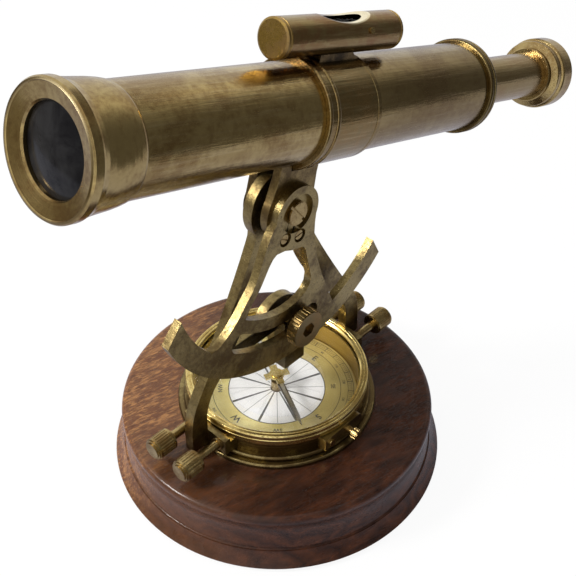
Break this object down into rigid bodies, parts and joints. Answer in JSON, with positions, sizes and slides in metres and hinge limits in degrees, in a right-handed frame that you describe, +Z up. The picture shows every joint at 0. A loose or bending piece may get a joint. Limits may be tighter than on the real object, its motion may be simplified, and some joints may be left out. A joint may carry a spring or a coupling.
{
  "type": "telescopic alidade",
  "caption": "Sighting telescope with a spirit level on a clamped tilting fork, held by an A-shaped frame over a compass on a turned round wooden base.",
  "frame": {"origin": "middle of the flat face that the wooden base rests on", "axes": "+Z up, telescope along X with its object end towards -X and its eyepiece towards +X, clamp knob and needle lock on the -Y side"},
  "size_m": [0.2939, 0.1486, 0.2222],
  "materials": {
    "wood": "polished rosewood",
    "felt": "green felt",
    "aged_brass": "polished brass with a brown antique tone",
    "dark_brass": "dark antique brass",
    "screw_brass": "turned antique brass",
    "bright_brass": "bright turned brass",
    "clear_glass": "clear",
    "spirit": "clear tinted liquid",
    "card": "printed card",
    "needle_steel": "brushed"
  },
  "bodies": {
    "base": {"wooden_base": "wood", "felt_pad": "felt", "base_screws": "screw_brass", "compass_bowl": "dark_brass", "bezel_ring": "bright_brass", "cover_glass": "clear_glass", "compass_card": "card", "needle_pin": "bright_brass", "lifter_pin": "screw_brass", "lock_plate": "dark_brass", "lock_plate_screw": "screw_brass", "lug_left": "dark_brass", "lug_right": "dark_brass", "frame": "dark_brass"},
    "telescope": {"sector": "dark_brass", "sector_screws": "screw_brass", "pivot_screw": "screw_brass", "pivot_nut": "screw_brass", "near_cheek": "aged_brass", "far_cheek": "aged_brass", "collar": "aged_brass", "main_tube": "aged_brass", "objective_cell": "aged_brass", "objective_lens": "clear_glass", "objective_retainer": "dark_brass", "guide_ring": "aged_brass", "guide_bush": "dark_brass", "level_post": "dark_brass", "level_tube": "aged_brass", "level_cap_front": "aged_brass", "level_cap_rear": "aged_brass", "level_vial": "clear_glass", "level_spirit": "spirit", "vial_screw": "screw_brass"},
    "draw": {"draw_tube": "bright_brass", "draw_stop": "dark_brass", "eyepiece_cup": "aged_brass", "eye_lens": "clear_glass", "eye_retainer": "dark_brass", "field_lens": "clear_glass", "field_cell": "dark_brass"},
    "needle": {"compass_needle": "needle_steel", "needle_cap": "bright_brass"},
    "lifter": {"needle_lifter": "screw_brass"},
    "lock_screw": {"needle_lock_screw": "screw_brass"},
    "clamp": {"clamp_knob": "screw_brass", "clamp_washer": "dark_brass"},
    "screw_left_far": {"foot_screw_left_far": "screw_brass"},
    "screw_left_near": {"foot_screw_left_near": "screw_brass"},
    "screw_right_far": {"foot_screw_right_far": "screw_brass"},
    "screw_right_near": {"foot_screw_right_near": "screw_brass"}
  },
  "joints": [
    {"name": "telescope_tilt", "type": "hinge", "parent": "base", "child": "telescope", "pos_m": [0, 0, 0.135], "axis": [0, 1, 0], "range_deg": [-37, 10]},
    {"name": "draw_slide", "type": "slide", "parent": "telescope", "child": "draw", "axis": [0.9548, 0, -0.2974], "range_m": [-0.061, 0.0025]},
    {"name": "needle_spin", "type": "hinge", "parent": "base", "child": "needle", "pos_m": [0, 0, 0.0392], "axis": [0, 0, 1], "continuous": true},
    {"name": "lock_screw_turn", "type": "hinge", "parent": "base", "child": "lock_screw", "pos_m": [0.0005, -0.045, 0.0369], "axis": [0, 1, 0], "range_deg": [0, 180]},
    {"name": "lifter_tilt", "type": "hinge", "parent": "base", "child": "lifter", "pos_m": [0.0005, -0.014, 0.0296], "axis": [1, 0, 0], "range_deg": [0, 2]},
    {"name": "clamp_turn", "type": "hinge", "parent": "base", "child": "clamp", "pos_m": [0, -0.0125, 0.0795], "axis": [0, -1, 0], "range_deg": [0, 540]},
    {"name": "screw_left_far_turn", "type": "hinge", "parent": "base", "child": "screw_left_far", "pos_m": [-0.06, 0.00825, 0.038], "axis": [-1, 0, 0], "range_deg": [0, 720]},
    {"name": "screw_left_near_turn", "type": "hinge", "parent": "base", "child": "screw_left_near", "pos_m": [-0.06, -0.00825, 0.038], "axis": [-1, 0, 0], "range_deg": [0, 720]},
    {"name": "screw_right_far_turn", "type": "hinge", "parent": "base", "child": "screw_right_far", "pos_m": [0.06, 0.00825, 0.038], "axis": [1, 0, 0], "range_deg": [0, 720]},
    {"name": "screw_right_near_turn", "type": "hinge", "parent": "base", "child": "screw_right_near", "pos_m": [0.06, -0.00825, 0.038], "axis": [1, 0, 0], "range_deg": [0, 720]}
  ],
  "couplings": [
    {"joint": "lifter_tilt", "follows": "lock_screw_turn", "ratio": 0.0111}
  ]
}
